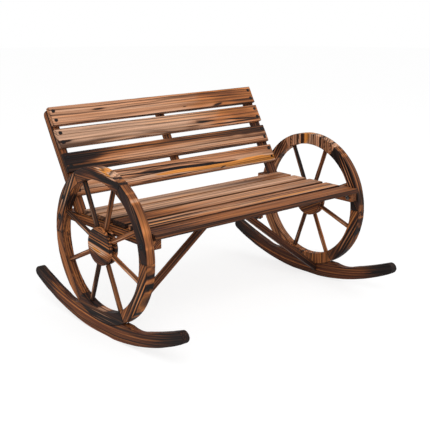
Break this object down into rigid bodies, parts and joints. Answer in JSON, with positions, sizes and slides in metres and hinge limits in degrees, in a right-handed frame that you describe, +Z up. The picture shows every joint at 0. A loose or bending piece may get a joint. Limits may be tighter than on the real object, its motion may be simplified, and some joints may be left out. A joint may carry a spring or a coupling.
{
  "type": "rocking bench",
  "caption": "Slatted timber garden rocking bench with a reclined back, carried between spoked wagon wheels that stand on curved rockers.",
  "frame": {"origin": "on the ground, midway between the wheels and under their common axis, which is the bottom centre of the bounding box", "axes": "+X across the bench along the slats, +Y from the seat's front to the back, +Z up"},
  "size_m": [1.05, 0.88, 0.74],
  "materials": {
    "seat_wood": "charred and brushed fir, thin satin oil, orange brown with black grain",
    "back_wood": "charred and brushed fir, thin satin oil, brown with black grain",
    "rim_wood": "charred and brushed fir, thin satin oil, streaked across the curve of the rim",
    "spoke_wood": "charred and brushed fir, turned, dark brown with orange streaks",
    "hub_wood": "charred and brushed fir with dark bands",
    "frame_wood": "charred fir, very dark brown",
    "rocker_wood": "charred and brushed fir, dark reddish brown, black at the tips",
    "dowel_wood": "plain hardwood, hidden",
    "dark_steel": "blackened steel, dull",
    "plain_steel": "zinc plated steel, dull"
  },
  "bodies": {
    "root": {"back_screws": "dark_steel", "back_slat_1": "back_wood", "back_slat_2": "back_wood", "back_slat_3": "back_wood", "back_slat_4": "back_wood", "brace_screws": "dark_steel", "centre_batten": "frame_wood", "frame_bolts": "dark_steel", "frame_nuts": "plain_steel", "frame_washers": "plain_steel", "left_brace": "frame_wood", "left_hub_inner_disc": "hub_wood", "left_hub_outer_disc": "hub_wood", "left_rim_segment_1": "rim_wood", "left_rim_segment_2": "rim_wood", "left_rim_segment_3": "rim_wood", "left_rim_segment_4": "rim_wood", "left_rim_segment_5": "rim_wood", "left_rim_segment_6": "rim_wood", "left_rocker": "rocker_wood", "left_side_post": "frame_wood", "left_side_rail": "frame_wood", "left_spoke_1": "spoke_wood", "left_spoke_2": "spoke_wood", "left_spoke_3": "spoke_wood", "left_spoke_4": "spoke_wood", "left_spoke_5": "spoke_wood", "left_spoke_6": "spoke_wood", "left_spoke_7": "spoke_wood", "left_spoke_8": "spoke_wood", "middle_post": "frame_wood", "right_brace": "frame_wood", "right_hub_inner_disc": "hub_wood", "right_hub_outer_disc": "hub_wood", "right_rim_segment_1": "rim_wood", "right_rim_segment_2": "rim_wood", "right_rim_segment_3": "rim_wood", "right_rim_segment_4": "rim_wood", "right_rim_segment_5": "rim_wood", "right_rim_segment_6": "rim_wood", "right_rocker": "rocker_wood", "right_side_post": "frame_wood", "right_side_rail": "frame_wood", "right_spoke_1": "spoke_wood", "right_spoke_2": "spoke_wood", "right_spoke_3": "spoke_wood", "right_spoke_4": "spoke_wood", "right_spoke_5": "spoke_wood", "right_spoke_6": "spoke_wood", "right_spoke_7": "spoke_wood", "right_spoke_8": "spoke_wood", "rim_dowels": "dowel_wood", "rocker_screws": "dark_steel", "seat_screws": "dark_steel", "seat_slat_1": "seat_wood", "seat_slat_2": "seat_wood", "seat_slat_3": "seat_wood", "seat_slat_4": "seat_wood", "seat_slat_5": "seat_wood", "short_screws": "dark_steel"}
  },
  "joints": []
}
